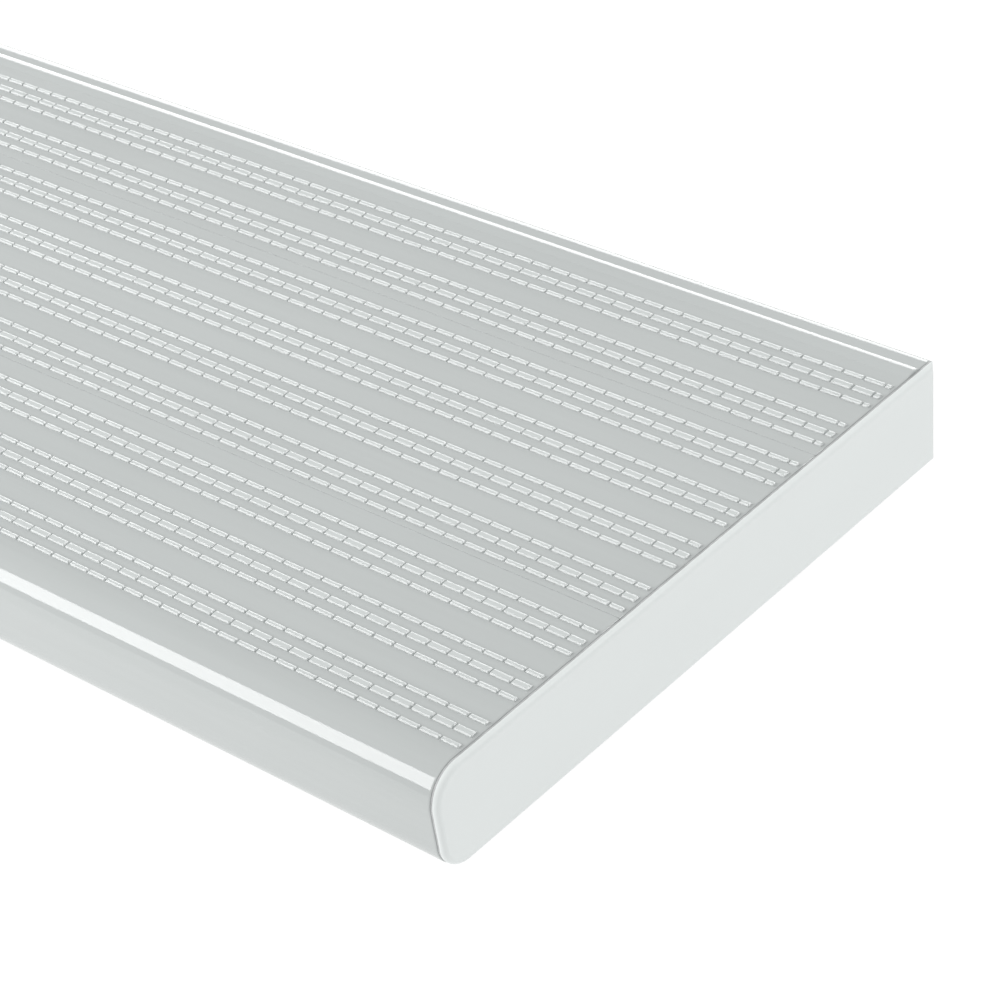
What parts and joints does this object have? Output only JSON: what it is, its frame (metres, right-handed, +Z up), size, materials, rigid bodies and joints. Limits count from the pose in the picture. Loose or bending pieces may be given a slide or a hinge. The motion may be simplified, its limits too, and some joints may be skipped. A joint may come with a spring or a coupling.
{
  "type": "diving board",
  "caption": "Flat ribbed aluminium diving board of interlocking extrusions, bullnose on one edge, with end caps, underside cross members, fulcrum pad and anchor bolt sleeves.",
  "frame": {"origin": "middle of the footprint, on the plane that the undersides of the cross members share", "axes": "+X along the board to the tip, +Y across it from the bullnose edge to the square edge, +Z up out of the deck"},
  "size_m": [2.4384, 0.4572, 0.0767],
  "materials": {
    "deck_coat": "smooth glossy light grey coat on aluminium",
    "cap_moulding": "smooth satin moulded plastic, lighter than the deck",
    "seal_rubber": "matt grey gasket",
    "member_aluminium": "mill-finish bar with drawn grain",
    "pad_rubber": "matt black ribbed rubber",
    "stainless": "turned stainless steel"
  },
  "bodies": {
    "root": {"bullnose_plank": "deck_coat", "centre_plank": "deck_coat", "square_edge_plank": "deck_coat", "tip_cap": "cap_moulding", "butt_cap": "cap_moulding", "tip_cap_seal": "seal_rubber", "butt_cap_seal": "seal_rubber", "tip_batten": "member_aluminium", "mid_batten": "member_aluminium", "fulcrum_plate": "member_aluminium", "rear_batten": "member_aluminium", "anchor_plate": "member_aluminium", "fulcrum_pad": "pad_rubber", "anchor_sleeve_1": "stainless", "anchor_sleeve_2": "stainless", "tip_batten_screw_1": "stainless", "tip_batten_screw_2": "stainless", "tip_batten_screw_3": "stainless", "tip_batten_screw_4": "stainless", "tip_batten_screw_5": "stainless", "tip_batten_screw_6": "stainless", "mid_batten_screw_1": "stainless", "mid_batten_screw_2": "stainless", "mid_batten_screw_3": "stainless", "mid_batten_screw_4": "stainless", "mid_batten_screw_5": "stainless", "mid_batten_screw_6": "stainless", "fulcrum_plate_screw_1": "stainless", "fulcrum_plate_screw_2": "stainless", "fulcrum_plate_screw_3": "stainless", "fulcrum_plate_screw_4": "stainless", "fulcrum_plate_screw_5": "stainless", "fulcrum_plate_screw_6": "stainless", "fulcrum_plate_screw_7": "stainless", "fulcrum_plate_screw_8": "stainless", "rear_batten_screw_1": "stainless", "rear_batten_screw_2": "stainless", "rear_batten_screw_3": "stainless", "rear_batten_screw_4": "stainless", "rear_batten_screw_5": "stainless", "rear_batten_screw_6": "stainless", "anchor_plate_screw_1": "stainless", "anchor_plate_screw_2": "stainless", "anchor_plate_screw_3": "stainless", "anchor_plate_screw_4": "stainless", "anchor_plate_screw_5": "stainless", "anchor_plate_screw_6": "stainless", "anchor_plate_screw_7": "stainless", "anchor_plate_screw_8": "stainless", "tip_cap_screw_1": "stainless", "tip_cap_screw_2": "stainless", "tip_cap_screw_3": "stainless", "tip_cap_screw_4": "stainless", "butt_cap_screw_1": "stainless", "butt_cap_screw_2": "stainless", "butt_cap_screw_3": "stainless", "butt_cap_screw_4": "stainless"}
  },
  "joints": []
}
